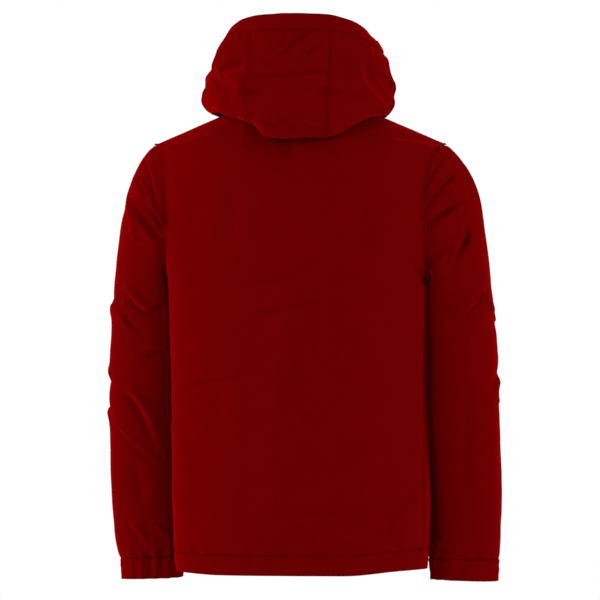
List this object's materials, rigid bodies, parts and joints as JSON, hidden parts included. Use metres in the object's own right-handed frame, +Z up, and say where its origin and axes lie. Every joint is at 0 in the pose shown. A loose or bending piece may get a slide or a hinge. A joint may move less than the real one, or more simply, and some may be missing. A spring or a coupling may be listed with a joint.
{
  "type": "anorak pullover",
  "caption": "Hooded pullover anorak of plain shell cloth, filled out as worn, with banded hem and cuffs and a short front zip.",
  "frame": {"origin": "middle of the neck opening, at the height where the wearer's shoulders carry the garment", "axes": "+Z up; +X to the wearer's left; the wearer faces -Y, so the back panel and the hood's drop are at +Y"},
  "size_m": [0.6142, 0.2828, 0.8795],
  "materials": {
    "shell_cloth": "plain fine-woven shell cloth, softly brushed, no print",
    "zip_tape": "woven zip tape in the shell's colour",
    "zip_metal": "dark plated zip metal"
  },
  "bodies": {
    "garment": {"back_panel": "shell_cloth", "front_panel": "shell_cloth", "sleeve_left": "shell_cloth", "sleeve_right": "shell_cloth", "cuff_left": "shell_cloth", "cuff_right": "shell_cloth", "hem_band": "shell_cloth", "hood_centre": "shell_cloth", "hood_side_left": "shell_cloth", "hood_side_right": "shell_cloth", "hood_face_band": "shell_cloth", "zip_tape_left": "zip_tape", "zip_tape_right": "zip_tape", "zip_slider": "zip_metal"},
    "pull_tab": {"zip_pull_tab": "zip_metal"}
  },
  "joints": [
    {"name": "pull_tab_swing", "type": "hinge", "parent": "garment", "child": "pull_tab", "pos_m": [0, -0.10653, 0.00333], "axis": [1, 0, 0], "range_deg": [-150, 12]}
  ]
}
